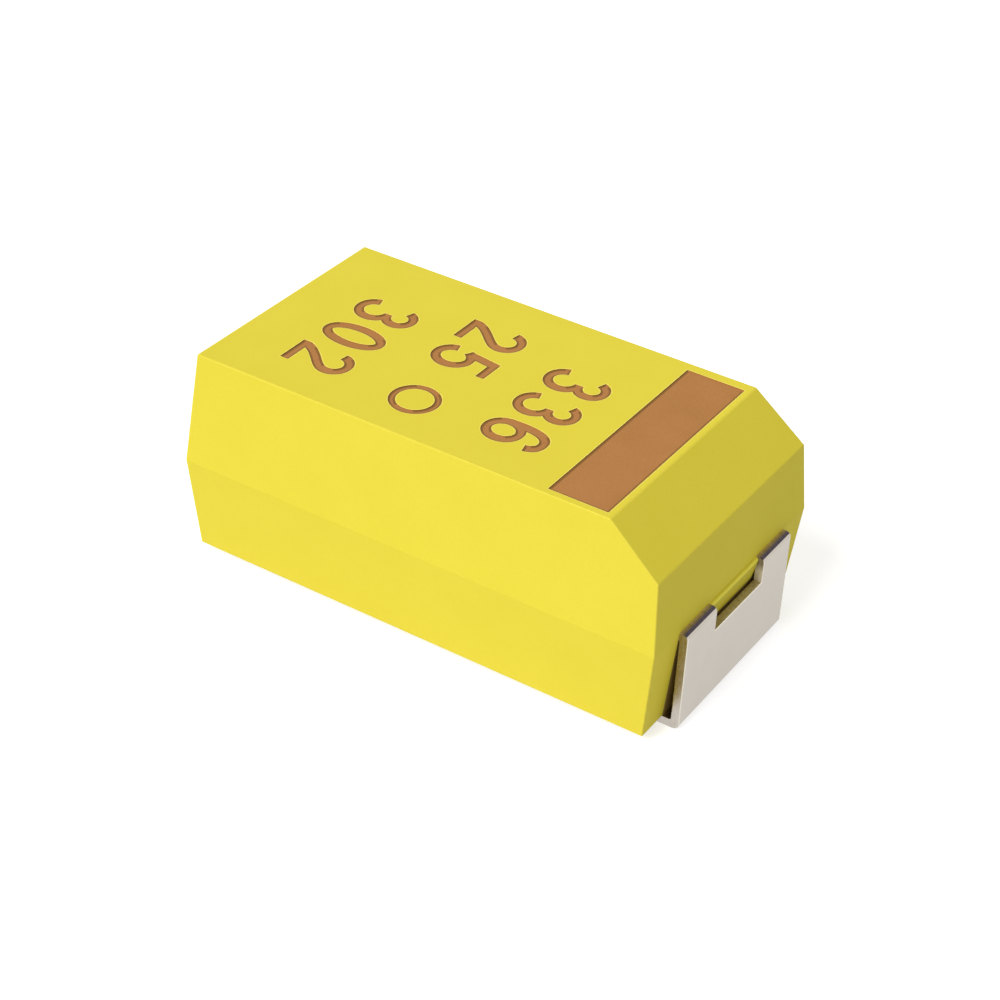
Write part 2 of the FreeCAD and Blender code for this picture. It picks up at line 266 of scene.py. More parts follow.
def case_shell():
    """The drafted halves with the polarity bevel, as one many-sided solid, edges rounded."""
    up_inset = (CASE_TOP - PARTING) * tan(DRAFT)
    down_inset = (PARTING - UNDERSIDE) * tan(DRAFT)
    foot_inset = (CASE_TOP - PARTING - BEVEL_DROP) * tan(DRAFT)
    bevel_foot = CASE_END - foot_inset
    corners = []
    for side in (-1, 1):
        corners += [
            (-CASE_END, side * CASE_SIDE, PARTING),
            (CASE_END, side * CASE_SIDE, PARTING),
            (-CASE_END + down_inset, side * (CASE_SIDE - down_inset), UNDERSIDE),
            (CASE_END - down_inset, side * (CASE_SIDE - down_inset), UNDERSIDE),
            (-CASE_END + up_inset, side * (CASE_SIDE - up_inset), CASE_TOP),
            (bevel_foot - BEVEL_RUN, side * (CASE_SIDE - up_inset), CASE_TOP),
            (bevel_foot, side * (CASE_SIDE - foot_inset), CASE_TOP - BEVEL_DROP),
        ]
    bm = bmesh.new()
    for corner in corners:
        bm.verts.new(corner)
    bmesh.ops.convex_hull(bm, input=bm.verts)
    bmesh.ops.dissolve_limit(bm, angle_limit=FLAT, verts=bm.verts, edges=bm.edges)

    def off_parting(edge):
        return any(abs(vertex.co.z - PARTING) > TOUCHING for vertex in edge.verts)
    # The rounded edges take a copy of the compound whose tone is set against the highlight they catch, as
    # painted light
    bevel_sharp(bm, EDGE_RADIUS, EDGE_STEPS, off_parting, EDGE_ROUNDING_TONE)
    shell = new_object("epoxy_case", bm)
    marks = (burnt_mark(), mark_foot_shade(), mark_wall_shade())
    ends = (painted_gap_shade(), ledge_edge_highlight(), ledge_face_shade())
    wear(shell, epoxy(), *marks, edge_rounding_tone(), mark_rim_highlight(), *ends)
    pad = block(
        "glue_pad",
        (-GLUE_PAD[0] / 2, -GLUE_PAD[1] / 2, CASE_LOW.z),
        (GLUE_PAD[0] / 2, GLUE_PAD[1] / 2, UNDERSIDE + EDGE_RADIUS),
    )
    combine(shell, pad, "UNION")
    for side in (-1, 1):
        combine(shell, gap_shade_cutter(side), "DIFFERENCE")
        combine(shell, notch_ledge(side), "UNION")
    return shell, bevel_foot - BEVEL_RUN, CASE_SIDE - up_inset


def gap_shade_cutter(side):
    """What takes a hair's depth off the case's end behind a leg, to give the painted shade there faces of
    its own.
    """
    top = PARTING - STRIP
    bottom = UNDERSIDE - EDGE_RADIUS
    outline = [
        (LEG_FACE, top),
        (CASE_END - STRIP * tan(DRAFT) - GAP_SHADE_DEPTH, top),
        (CASE_END - (PARTING - bottom) * tan(DRAFT) - GAP_SHADE_DEPTH, bottom),
        (LEG_FACE, bottom),
    ]
    outline = [(side * along, up) for along, up in outline]
    return prism("gap_shade_cutter", outline, -STRIP_SIDE, STRIP_SIDE, side_view)


def notch_ledge(side):
    """The lower half's moulded ledge, which shows in the terminal's notch."""
    inner = CASE_END - NOTCH_INSET
    floor = PARTING - NOTCH_DEPTH
    outline = [
        (inner, PARTING),
        (CASE_END + LEDGE_REACH - LEDGE_CHAMFER, PARTING),
        (CASE_END + LEDGE_REACH, PARTING - LEDGE_CHAMFER),
        (CASE_END - NOTCH_DEPTH * tan(DRAFT), floor),
        (inner, floor),
    ]
    outline = [(side * along, up) for along, up in outline]
    ledge = prism("notch_ledge", outline, -NOTCH_WIDTH / 2, NOTCH_WIDTH / 2, side_view)
    bm = bmesh.new()
    bm.from_mesh(ledge.data)

    def front_corner(edge):
        ends = edge.verts
        at_wall = all(abs(abs(end.co.y) - NOTCH_WIDTH / 2) < TOUCHING for end in ends)
        return at_wall and all(abs(end.co.x) > inner + CLEAR for end in ends)
    bevel_sharp(bm, LEDGE_CORNER, LEDGE_STEPS, front_corner)
    bm.to_mesh(ledge.data)
    bm.free()
    return ledge


# Each digit as pen strokes, in a box 0.45 mm wide and 0.75 mm high
DIGIT_STROKES = {
    "0": [arc((0.225, 0.375), (0.166, 0.327), 0, 360, 48)],
    "2": [
        arc((0.222, 0.540), (0.161, 0.161), 176, -18, 24)
        + curve((0.375, 0.490), (0.345, 0.375), (0.105, 0.240), (0.068, 0.060), 16)[1:],
        [(0.016, 0.051), (0.437, 0.051)],
    ],
    "3": [
        arc((0.214, 0.552), (0.147, 0.149), 166, -92, 28),
        arc((0.214, 0.227), (0.172, 0.178), 92, -168, 32),
    ],
    "5": [
        [(0.082, 0.700), (0.412, 0.700)],
        [(0.137, 0.738), (0.083, 0.352)],
        arc((0.214, 0.244), (0.173, 0.194), 148, -168, 32),
    ],
    "6": [
        arc((0.229, 0.232), (0.166, 0.183), 0, 360, 40),
        curve((0.062, 0.230), (0.045, 0.560), (0.110, 0.702), (0.245, 0.702), 20)
        + curve((0.245, 0.702), (0.325, 0.702), (0.372, 0.655), (0.388, 0.570), 12)[1:],
    ],
}


def stroke_ribbon(path, upright, level, reach):
    """A pen stroke as a closed solid that reaches up and down, wider where it runs upright."""
    closed = (Vector(path[0]) - Vector(path[-1])).length < TOUCHING
    points = [Vector(point) for point in (path[:-1] if closed else path)]
    count = len(points)
    bm = bmesh.new()
    rungs = []
    for index, point in enumerate(points):
        before = points[index - 1] if closed or index else point
        after = points[(index + 1) % count] if closed or index < count - 1 else point
        along = (after - before).normalized()
        half = (level + (upright - level) * abs(along.y)) / 2
        across = Vector((-along.y, along.x)) * half
        corners = [(-reach, across), (reach, across), (reach, -across), (-reach, -across)]
        rungs.append([bm.verts.new((*(point + side), height)) for height, side in corners])
    for index in range(count if closed else count - 1):
        rung, following = rungs[index], rungs[(index + 1) % count]
        for corner in range(4):
            beside = (corner + 1) % 4
            bm.faces.new([rung[corner], rung[beside], following[beside], following[corner]])
    if not closed:
        bm.faces.new(rungs[0])
        bm.faces.new(rungs[-1])
    bmesh.ops.recalc_face_normals(bm, faces=bm.faces)
    return new_object("ribbon", bm)


def chained(edges):
    """Closed loops of points from the edges of an outline."""
    links = {}
    for edge in edges:
        for vertex in edge.verts:
            links.setdefault(vertex, []).append(edge.other_vert(vertex))
    loops = []
    while links:
        here, ends = links.popitem()
        loop = [here]
        here = ends[0]
        while here in links:
            ends = links.pop(here)
            loop.append(here)
            here = ends[1] if ends[0] == loop[-2] else ends[0]
        loops.append([vertex.co.xy for vertex in loop])
    return loops


def signed_area(loop):
    """Area inside a loop, above zero if it runs anticlockwise."""
    return sum(first.cross(second) for first, second in zip(loop, loop[1:] + loop[:1])) / 2


def thinned(loop):
    """The loop without points that lie close to the one before or in line with both beside."""
    apart = []
    for point in loop:
        if not apart or (point - apart[-1]).length > OUTLINE_GAP:
            apart.append(point)
    if (apart[0] - apart[-1]).length < OUTLINE_GAP:
        apart.pop()
    kept = []
    for index, point in enumerate(apart):
        before = point - apart[index - 1]
        after = apart[(index + 1) % len(apart)] - point
        if abs(before.cross(after)) > LEAST_BEND * before.length * after.length:
            kept.append(point)
    return kept


def joined_outline(strokes, upright, level):
    """Loops round a set of pen strokes: the outer one anticlockwise, holes clockwise.

    Each stroke reaches further up and down than the last, so no two end in one plane.
    """
    solid = stroke_ribbon(strokes[0], upright, level, reach=1)
    for reach, path in enumerate(strokes[1:], 2):
        combine(solid, stroke_ribbon(path, upright, level, reach), "UNION")
    bm = bmesh.new()
    bm.from_mesh(solid.data)
    parts = bm.verts[:] + bm.edges[:] + bm.faces[:]
    cut = bmesh.ops.bisect_plane(bm, geom=parts, plane_co=(0, 0, 0), plane_no=(0, 0, 1))
    edges = [part for part in cut["geom_cut"] if isinstance(part, bmesh.types.BMEdge)]
    loops = [thinned(loop) for loop in chained(edges)]
    loops.sort(key=lambda loop: -abs(signed_area(loop)))
    bm.free()
    old = solid.data
    bpy.data.objects.remove(solid)
    bpy.data.meshes.remove(old)
    turned = []
    for rank, loop in enumerate(loops):
        anticlockwise = signed_area(loop) > 0
        turned.append(loop if anticlockwise == (rank == 0) else loop[::-1])
    return turned


def moved_out(loop, spread):
    """The loop pushed out to the side, with its corners kept."""
    moved = []
    for index, point in enumerate(loop):
        before = (point - loop[index - 1]).normalized()
        after = (loop[(index + 1) % len(loop)] - point).normalized()
        outwards = Vector((before.y + after.y, -before.x - after.x))
        moved.append(point + outwards * spread / max(1 + before.dot(after), MITRE_LIMIT))
    return moved


def mark_cutter(loops, place):
    """A closed solid over an outline, narrower at the floor and wider at the rim.

    The rim's slope goes on above the face, for a clean cut.
    """
    floor = CASE_TOP - MARK_DEPTH
    layers = [
        (floor, -MARK_FOOT[0]),
        (floor + MARK_FOOT[1], 0),
        (CASE_TOP - MARK_RIM[1], 0),
        (CASE_TOP + MARK_RIM[1], 2 * MARK_RIM[0]),
    ]
    bm = bmesh.new()
    for loop in loops:
        rails = []
        for height, spread in layers:
            rails.append([bm.verts.new((*place(point), height)) for point in moved_out(loop, spread)])
        for lower, upper in zip(rails, rails[1:]):
            for index in range(len(loop)):
                beside = index - 1
                bm.faces.new([lower[beside], lower[index], upper[index], upper[beside]])
    for height in (layers[0][0], layers[-1][0]):
        brim = [
            edge for edge in bm.edges
            if all(abs(end.co.z - height) < TOUCHING for end in edge.verts)
        ]
        bmesh.ops.triangle_fill(bm, edges=brim, use_beauty=True, normal=(0, 0, 1))
    bmesh.ops.recalc_face_normals(bm, faces=bm.faces)
    return new_object("mark_cutter", bm)


def cut_marks(shell, bevel_edge, top_side):
    """Sink the stripe, the digits and the ring into the top face."""
    stripe_front = bevel_edge - STRIPE_SETBACK
    stripe_back = stripe_front - STRIPE_LENGTH
    stripe_near = STRIPE_NEAR_MARGIN - top_side
    stripe_far = top_side - STRIPE_FAR_MARGIN
    stripe = [
        Vector((stripe_back, stripe_near)),
        Vector((stripe_front, stripe_near)),
        Vector((stripe_front, stripe_far)),
        Vector((stripe_back, stripe_far)),
    ]
    combine(shell, mark_cutter([stripe], tuple), "DIFFERENCE")
    outlines = {}
    for digits, baseline, start in MARK_ROWS:
        for rank, digit in enumerate(digits):
            left_side = start + rank * DIGIT_PITCH
            if digit not in outlines:
                outlines[digit] = joined_outline(DIGIT_STROKES[digit], PEN_UPRIGHT, PEN_LEVEL)

            def place(point, baseline=baseline, left_side=left_side):
                return (baseline + point.y, -(left_side + point.x))
            combine(shell, mark_cutter(outlines[digit], place), "DIFFERENCE")

    def place_ring(point):
        return (RING_CENTRE[0] + point.y, -(RING_CENTRE[1] + point.x))
    ring = arc((0, 0), (RING_RADIUS, RING_RADIUS), 0, 360, RING_STEPS)
    combine(shell, mark_cutter(joined_outline([ring], RING_PEN, RING_PEN), place_ring), "DIFFERENCE")


def shade(target):
    """Smooth shading that keeps big faces flat, the parting line and sharp edges crisp."""
    bm = bmesh.new()
    bm.from_mesh(target.data)
    for face in bm.faces:
        face.smooth = True
    for edge in bm.edges:
        on_parting = all(abs(vertex.co.z - PARTING) < TOUCHING for vertex in edge.verts)
        edge.smooth = edge.calc_face_angle(pi) < CREASE and not on_parting
    bm.to_mesh(target.data)
    bm.free()
    weighted = target.modifiers.new("weighted_normals", "WEIGHTED_NORMAL")
    weighted.keep_sharp = True
    weighted.weight = 100
    weighted.thresh = 0.001
    settle(target)


def to_metres(target):
    target.data.transform(Matrix.Scale(MM, 4))
    target.data.update()


def paint_case(shell):
    """Materials for the marks' floors; painted shade on their walls and borders, on the ledges' fronts and
    behind the legs; painted highlight on their rims and the ledges' edges.
    """
    floor = CASE_TOP - MARK_DEPTH
    border = floor + MARK_FOOT[1]
    rim = CASE_TOP - MARK_RIM[1]
    for face in shell.data.polygons:
        corners = [shell.data.vertices[index].co for index in face.vertices]
        heights = [corner.z for corner in corners]
        reach = max(abs(corner.x) for corner in corners)
        aside = max(abs(corner.y) for corner in corners)
        # Beyond the case's end, the ledge's chamfer and rounded corners take a painted highlight
        if reach > CASE_END + CLEAR and EDGE_ON < face.normal.z < FACING:
            face.material_index = LEDGE
        # The ledge's front and sides take painted shade
        elif reach > CASE_END + CLEAR and face.normal.z < EDGE_ON:
            face.material_index = LEDGE_FACE
        # Behind each leg the case's end takes painted shade
        behind_leg = reach < CASE_END and aside < STRIP_SIDE + TOUCHING and abs(face.normal.x) > FACING
        if behind_leg and max(heights) < PARTING - STRIP + TOUCHING:
            face.material_index = GAP_SHADE
        if min(heights) < floor - TOUCHING or face.material_index == EDGE_ROUNDING_TONE:
            continue
        # Walls and foot borders facing -Y, towards the key light, keep the floor's brown; the rest take
        # painted shade
        on_far_side = face.normal.y < -FAR_SIDE * face.normal.xy.length
        if max(heights) < floor + TOUCHING or (on_far_side and max(heights) < rim + TOUCHING):
            face.material_index = BURNT
        # The band at each wall's foot takes painted shade
        elif max(heights) < border + TOUCHING:
            face.material_index = FOOT_SHADE
        # The walls take painted shade
        elif max(heights) < rim + TOUCHING:
            face.material_index = WALL_SHADE
        # The sloped rim round each mark takes a painted highlight
        elif min(heights) < CASE_TOP - TOUCHING:
            face.material_index = RIM_HIGHLIGHT


def terminal_outside(side):
    """Foot, leg and the full-width strip that enters the case, drawn in side view."""
    foot_end = LEG_FACE - FOOT_LENGTH
    outer = (LEG_FACE - FOOT_OUTER_RADIUS, FOOT_OUTER_RADIUS)
    shoulder = (LEG_FACE - SHOULDER_RADIUS, PARTING - SHOULDER_RADIUS)
    inner = (CASE_END - FOOT_INNER_RADIUS, STRIP + FOOT_INNER_RADIUS)
    outline = [(foot_end, 0)]
    outline += arc(outer, (FOOT_OUTER_RADIUS, FOOT_OUTER_RADIUS), -90, 0, FOOT_OUTER_STEPS)
    outline += arc(shoulder, (SHOULDER_RADIUS, SHOULDER_RADIUS), 0, 90, BEND_STEPS)
    outline += [(CASE_END - SHOULDER_LENGTH, PARTING)]
    outline += [(CASE_END - SHOULDER_LENGTH, PARTING - STRIP)]
    outline += [(CASE_END, PARTING - STRIP)]
    outline += arc(inner, (FOOT_INNER_RADIUS, FOOT_INNER_RADIUS), 0, -90, FOOT_INNER_STEPS)
    outline += [(foot_end, STRIP)]
    outline = [(side * along, up) for along, up in outline]
    return prism("strip", outline, -STRIP_SIDE, STRIP_SIDE, side_view)


def terminal(name, side, inside_outline):
    """One strip of tin-plated metal, from its foot to what it carries in the case."""
    strip = terminal_outside(side)
    strip.name = name
    half = INNER_STRIP_WIDTH / 2
    combine(strip, prism("inner_strip", inside_outline, -half, half, side_view), "UNION")
    reach = sorted((side * (CASE_END - NOTCH_INSET), side * (LEG_FACE + NOTCH_INSET)))
    notch = block(
        "notch_cutter",
        (reach[0], -NOTCH_WIDTH / 2, PARTING - NOTCH_DEPTH),
        (reach[1], NOTCH_WIDTH / 2, PARTING + NOTCH_DEPTH),
    )
    combine(strip, notch, "DIFFERENCE")
    bm = bmesh.new()
    bm.from_mesh(strip.data)
    bmesh.ops.dissolve_limit(bm, angle_limit=FLAT, verts=bm.verts, edges=bm.edges)

    def square_edge(edge):
        return edge.calc_face_angle(0) > SQUARE
    bevel_sharp(bm, SHEAR_ROUNDING, SHEAR_STEPS, square_edge)
    bm.to_mesh(strip.data)
    bm.free()
    return strip


def anode_tab_outline():
    """The tab inside the case, to which the wire is welded."""
    overlap = STRIP / 2
    shoulder_end = CASE_END - SHOULDER_LENGTH
    low = (TAB_END, PARTING - STRIP)
    high = (shoulder_end + overlap, PARTING)
    return [low, (high[0], low[1]), high, (low[0], high[1])]


def cathode_paddle_outline():
    """The step down inside the case and the paddle under the pellet, bends rounded."""
    coat_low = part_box("silver_coat")[0] * TO_MM
    glue_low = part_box("silver_adhesive")[0] * TO_MM
    paddle_top = glue_low.z
    riser = coat_low.x - RISER_GAP
    overlap = STRIP / 2
    start = -(CASE_END - SHOULDER_LENGTH) - overlap
    small = (PADDLE_RADIUS, PADDLE_RADIUS)
    large = (PADDLE_RADIUS + STRIP, PADDLE_RADIUS + STRIP)
    top_centre = (riser - large[0], PARTING - large[1])
    foot_centre = (riser + small[0], paddle_top + small[1])
    outline = [(start, PARTING)]
    outline += arc(top_centre, large, 90, 0, BEND_STEPS)
    outline += arc(foot_centre, small, 180, 270, BEND_STEPS)
    outline += [(PADDLE_END, paddle_top), (PADDLE_END, paddle_top - STRIP)]
    outline += arc(foot_centre, large, 270, 180, BEND_STEPS)
    outline += arc(top_centre, small, 0, 90, BEND_STEPS)
    outline += [(start, PARTING - STRIP)]
    return outline


class Shader:
    """A node material with its surface shader, and short ways to add to it."""

    def __init__(self, name):
        self.material = bpy.data.materials.new(name)
        self.material.use_nodes = True
        self.tree = self.material.node_tree
        self.surface = self.tree.nodes["Principled BSDF"]
        self.coordinates = self.tree.nodes.new("ShaderNodeTexCoord")

    def set(self, **values):
        for key, number in values.items():
            self.surface.inputs[key.replace("_", " ")].default_value = number

    def node(self, kind, **settings):
        made = self.tree.nodes.new(kind)
        for key, setting in settings.items():
            setattr(made, key, setting)
        return made

    def link(self, source, target):
        self.tree.links.new(source, target)

    def millimetres(self, stretch=(1, 1, 1)):
        """Object coordinates in millimetres, stretched if asked."""
        mapping = self.node("ShaderNodeMapping")
        mapping.inputs["Scale"].default_value = [factor * TO_MM for factor in stretch]
        self.link(self.coordinates.outputs["Object"], mapping.inputs["Vector"])
        return mapping.outputs["Vector"]

    def noise(self, vector, scale, detail=2.0, roughness=0.5):
        made = self.node("ShaderNodeTexNoise")
        made.inputs["Scale"].default_value = scale
        made.inputs["Detail"].default_value = detail
        made.inputs["Roughness"].default_value = roughness
        self.link(vector, made.inputs["Vector"])
        return made.outputs["Fac"]

    def between(self, factor, low, high, from_low=0.3, from_high=0.7):
        """A number that follows the factor from low to high."""
        made = self.node("ShaderNodeMapRange")
        made.inputs["From Min"].default_value = from_low
        made.inputs["From Max"].default_value = from_high
        made.inputs["To Min"].default_value = low
        made.inputs["To Max"].default_value = high
        self.link(factor, made.inputs["Value"])
        return made.outputs["Result"]

    def blend_colours(self, factor, first, second):
        made = self.node("ShaderNodeMix", data_type="RGBA")
        self.link(factor, made.inputs["Factor"])
        for socket, colour in (("A", first), ("B", second)):
            target = [item for item in made.inputs if item.name == socket and item.type == "RGBA"][0]
            if isinstance(colour, tuple):
                target.default_value = (*colour, 1)
            else:
                self.link(colour, target)
        return [item for item in made.outputs if item.type == "RGBA"][0]

    def bump(self, height, depth):
        """Fine relief of a real depth in millimetres."""
        made = self.node("ShaderNodeBump")
        made.inputs["Distance"].default_value = depth * MM
        self.link(height, made.inputs["Height"])
        self.link(made.outputs["Normal"], self.surface.inputs["Normal"])


def epoxy():
    """Satin yellow moulding compound with a fine, sparked-mould grain."""
    shader = Shader("epoxy")
    vector = shader.millimetres()
    cloud = shader.noise(vector, scale=1.6)
    grain = shader.noise(vector, scale=38.0, detail=3.0)
    tone = shader.blend_colours(shader.between(cloud, 0, 1), (0.813, 0.686, 0.056), (0.831, 0.704, 0.061))
    colour = shader.blend_colours(shader.between(grain, 0, 0.35), tone, (0.782, 0.650, 0.051))
    shader.link(colour, shader.surface.inputs["Base Color"])
    shader.link(shader.between(grain, 0.50, 0.60), shader.surface.inputs["Roughness"])
    shader.set(Specular_IOR_Level=0.09)
    shader.bump(grain, depth=0.0012)
    return shader.material


def light_epoxy(name, low, high, rough, specular):
    """The same compound in a tone of its own: lighter where it paints a highlight, darker where it paints
    shade, on edges, rims and ledges.
    """
    shader = Shader(name)
    spread = 0.05
    grain = shader.noise(shader.millimetres(), scale=20.0, detail=3.0)
    colour = shader.blend_colours(shader.between(grain, 0, 1), low, high)
    shader.link(colour, shader.surface.inputs["Base Color"])
    shader.link(shader.between(grain, rough - spread, rough + spread), shader.surface.inputs["Roughness"])
    shader.set(Specular_IOR_Level=specular)
    return shader.material


# Painted light: the case's rounded edges get a copy of the compound, its tone tuned to the highlight they
# catch
def edge_rounding_tone():
    tones = ((0.800, 0.672, 0.057), (0.832, 0.705, 0.067))
    return light_epoxy("edge_rounding_tone", *tones, rough=0.50, specular=0.10)


# Painted highlight: a lighter tone on the sloped rim round each mark
def mark_rim_highlight():
    tones = ((0.920, 0.780, 0.130), (0.955, 0.815, 0.160))
    return light_epoxy("mark_rim_highlight", *tones, rough=0.55, specular=0.12)


# Painted shade: a darker tone on the ledge's front and sides
def ledge_face_shade():
    tones = ((0.650, 0.545, 0.034), (0.700, 0.590, 0.042))
    return light_epoxy("ledge_face_shade", *tones, rough=0.55, specular=0.09)


# Painted highlight: a near-white yellow on the ledge's chamfer, which lies in the case's shadow
def ledge_edge_highlight():
    tones = ((0.965, 0.850, 0.075), (0.990, 0.880, 0.088))
    return light_epoxy("ledge_edge_highlight", *tones, rough=0.45, specular=0.20)


def burnt_mark():
    """Brown floor of the sunk marks, slightly coarser than the moulded face."""
    shader = Shader("burnt_mark")
    vector = shader.millimetres()
    cloud = shader.noise(vector, scale=2.2)
    grain = shader.noise(vector, scale=55.0, detail=4.0)
    tone = shader.blend_colours(shader.between(cloud, 0, 1), (0.475, 0.212, 0.062), (0.520, 0.233, 0.074))
    colour = shader.blend_colours(shader.between(grain, 0, 0.5), tone, (0.400, 0.170, 0.048))
    shader.link(colour, shader.surface.inputs["Base Color"])
    shader.link(shader.between(grain, 0.62, 0.72), shader.surface.inputs["Roughness"])
    shader.set(Specular_IOR_Level=0.15)
    shader.bump(grain, depth=0.002)
    return shader.material


def dark_brown(name, low, high):
    """Dark brown compound, as painted shade on the marks' walls and borders and behind the legs."""
    shader = Shader(name)
    grain = shader.noise(shader.millimetres(), scale=55.0, detail=4.0)
    colour = shader.blend_colours(shader.between(grain, 0, 1), low, high)
    shader.link(colour, shader.surface.inputs["Base Color"])
    shader.set(Roughness=0.7, Specular_IOR_Level=0.15)
    return shader.material


# Painted shade: a dark line along the foot of each mark's walls
def mark_foot_shade():
    return dark_brown("mark_foot_shade", (0.270, 0.122, 0.032), (0.310, 0.141, 0.038))


# Painted shade on the marks' walls that face away from the key light
def mark_wall_shade():
    return dark_brown("mark_wall_shade", (0.270, 0.130, 0.026), (0.330, 0.160, 0.034))


# Painted shade in the narrow gap between the case's end and each leg
def painted_gap_shade():
    return dark_brown("painted_gap_shade", (0.340, 0.222, 0.062), (0.400, 0.262, 0.080))


def tin_plate():
    """Satin tin with faint rolling lines along the strip."""
    shader = Shader("tin_plate")
    lines = shader.noise(shader.millimetres((3.0, 46.0, 3.0)), scale=1.0, detail=2.0)
    cloud = shader.noise(shader.millimetres(), scale=3.0)
    tone = shader.blend_colours(shader.between(cloud, 0, 1), (0.572, 0.520, 0.449), (0.592, 0.540, 0.468))
    shader.link(tone, shader.surface.inputs["Base Color"])
    shader.link(shader.between(lines, 0.12, 0.15), shader.surface.inputs["Roughness"])
    shader.set(Metallic=1.0)
    shader.bump(lines, depth=0.0003)
    return shader.material


def banded_metal(name, brown, pale_below, metal, levels=LEG_REFLECTION_BAND):
    """Cut metal: brown above these levels, below them a pale tone that paints the floor's reflection."""
    shader = Shader(name)
    tears = shader.noise(shader.millimetres((30.0, 30.0, 9.0)), scale=1.0, detail=3.0)
    parts = shader.node("ShaderNodeSeparateXYZ")
    shader.link(shader.millimetres(), parts.inputs["Vector"])
    rise = shader.between(parts.outputs["Z"], 0, 1, *levels)
    above = shader.blend_colours(shader.between(tears, 0, 1), *brown)
    below = shader.blend_colours(shader.between(tears, 0, 1), *pale_below)
    shader.link(shader.blend_colours(rise, below, above), shader.surface.inputs["Base Color"])
    shader.link(shader.between(tears, 0.24, 0.32), shader.surface.inputs["Roughness"])
    shader.set(Metallic=metal)
    shader.bump(tears, depth=0.0006)
    return shader.material


# Cut sides of the legs: brown base metal, with a pale painted reflection of the floor low down
def cut_side():
    brown = ((0.420, 0.345, 0.295), (0.490, 0.410, 0.365))
    pale_below = ((0.600, 0.550, 0.490), (0.670, 0.620, 0.560))
    return banded_metal("cut_side", brown, pale_below, metal=1.0)


def notch_floor():
    brown = ((0.425, 0.340, 0.145), (0.535, 0.430, 0.190))
    return banded_metal("notch_floor", brown, brown, metal=0.0)


# The notch's walls: brown cut metal, with a pale cream lower part that paints the floor's reflection
def notch_wall():
    brown = ((0.270, 0.215, 0.145), (0.340, 0.275, 0.190))
    pale_below = ((0.760, 0.680, 0.500), (0.840, 0.760, 0.570))
    return banded_metal("notch_wall", brown, pale_below, metal=0.0, levels=NOTCH_REFLECTION_BAND)


# Painted highlight: pale metal on the terminals' rounded front edges
def tin_edge_highlight():
    pale = ((0.745, 0.700, 0.610), (0.795, 0.750, 0.655))
    return banded_metal("tin_edge_highlight", pale, pale, metal=1.0)


def painted_shoulder_reflection():
    """Painted reflection on the plating over the shoulder's bend: brown at the case, dark slate further
    out.
    """
    shader = Shader("painted_shoulder_reflection")
    lines = shader.noise(shader.millimetres((12.0, 46.0, 12.0)), scale=1.0, detail=3.0)
    parts = shader.node("ShaderNodeSeparateXYZ")
    shader.link(shader.millimetres(), parts.inputs["Vector"])
    outwards = shader.node("ShaderNodeMath", operation="ABSOLUTE")
    shader.link(parts.outputs["X"], outwards.inputs[0])
    reach = shader.between(outwards.outputs["Value"], 0, 1, *SLATE_RANGE)
    brown = shader.blend_colours(shader.between(lines, 0, 1), (0.490, 0.385, 0.262), (0.635, 0.515, 0.375))
    slate = shader.blend_colours(shader.between(lines, 0, 1), (0.055, 0.045, 0.056), (0.095, 0.076, 0.088))
    shader.link(shader.blend_colours(reach, brown, slate), shader.surface.inputs["Base Color"])
    shader.link(shader.between(lines, 0.30, 0.42), shader.surface.inputs["Roughness"])
    shader.set(Metallic=1.0)
    shader.bump(lines, depth=0.0006)
    return shader.material


def plain_grain(name, dark, light, scale, rough, metal=0.0):
    """A hidden inner material: grain between two tones."""
    shader = Shader(name)
    grain = shader.noise(shader.millimetres(), scale, detail=4.0)
    colour = shader.blend_colours(shader.between(grain, 0, 1), dark, light)
    shader.link(colour, shader.surface.inputs["Base Color"])
    shader.set(Roughness=rough, Metallic=metal)
    shader.bump(grain, depth=0.004)
    return shader.material


def wear(target, *materials):
    """Put these materials on, in this order, in place of any it has."""
    if target.data.materials:
        target.data.materials.clear()
    for material in materials:
        target.data.materials.append(material)


def build_case():
    shell, bevel_edge, top_side = case_shell()
    cut_marks(shell, bevel_edge, top_side)
    paint_case(shell)
    shade(shell)
    to_metres(shell)
    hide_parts("moulded_case")
    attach(shell, "root")


def paint_strip(strip):
    """Dark painted reflection over the shoulder's bend, a painted highlight on the rounded front edges;
    cut metal on the sides and in the notch.
    """
    bend = PARTING - SHOULDER_RADIUS * PAINTED_REFLECTION_PART
    floor = PARTING - NOTCH_DEPTH
    for face in strip.data.polygons:
        reach = max(abs(strip.data.vertices[index].co.x) for index in face.vertices)
        in_notch = abs(face.center.y) < NOTCH_WIDTH / 2 + SHEAR_ROUNDING
        on_floor = in_notch and abs(face.center.z - floor) < SHEAR_ROUNDING
        normal = face.normal
        tilted = reach > LEG_FACE - SHEAR_ROUNDING / 2 and abs(normal.x) < FULL_ON
        # Rounded front edges take a painted highlight
        if tilted and (abs(normal.y) > ASLANT or on_floor):
            face.material_index = TIN_EDGE_HIGHLIGHT
        # Faces over the shoulder's bend take the painted reflection
        elif reach > CASE_END + CLEAR and face.center.z > bend and normal.z > RISING:
            face.material_index = SHOULDER_REFLECTION
        elif on_floor and normal.z > FACING:
            face.material_index = NOTCH_FLOOR
        elif abs(normal.y) > FACING:
            face.material_index = NOTCH_WALL if in_notch else CUT_SIDE


def build_terminals():
    plating = (tin_plate(), painted_shoulder_reflection(), cut_side(), notch_floor(), notch_wall(), tin_edge_highlight())
    anode = terminal("anode_strip", 1, anode_tab_outline())
    cathode = terminal("cathode_strip", -1, cathode_paddle_outline())
    for strip, node in ((anode, "anode_terminal"), (cathode, "cathode_terminal")):
        wear(strip, *plating)
        paint_strip(strip)
        shade(strip)
        to_metres(strip)
        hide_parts(node)
        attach(strip, "root")


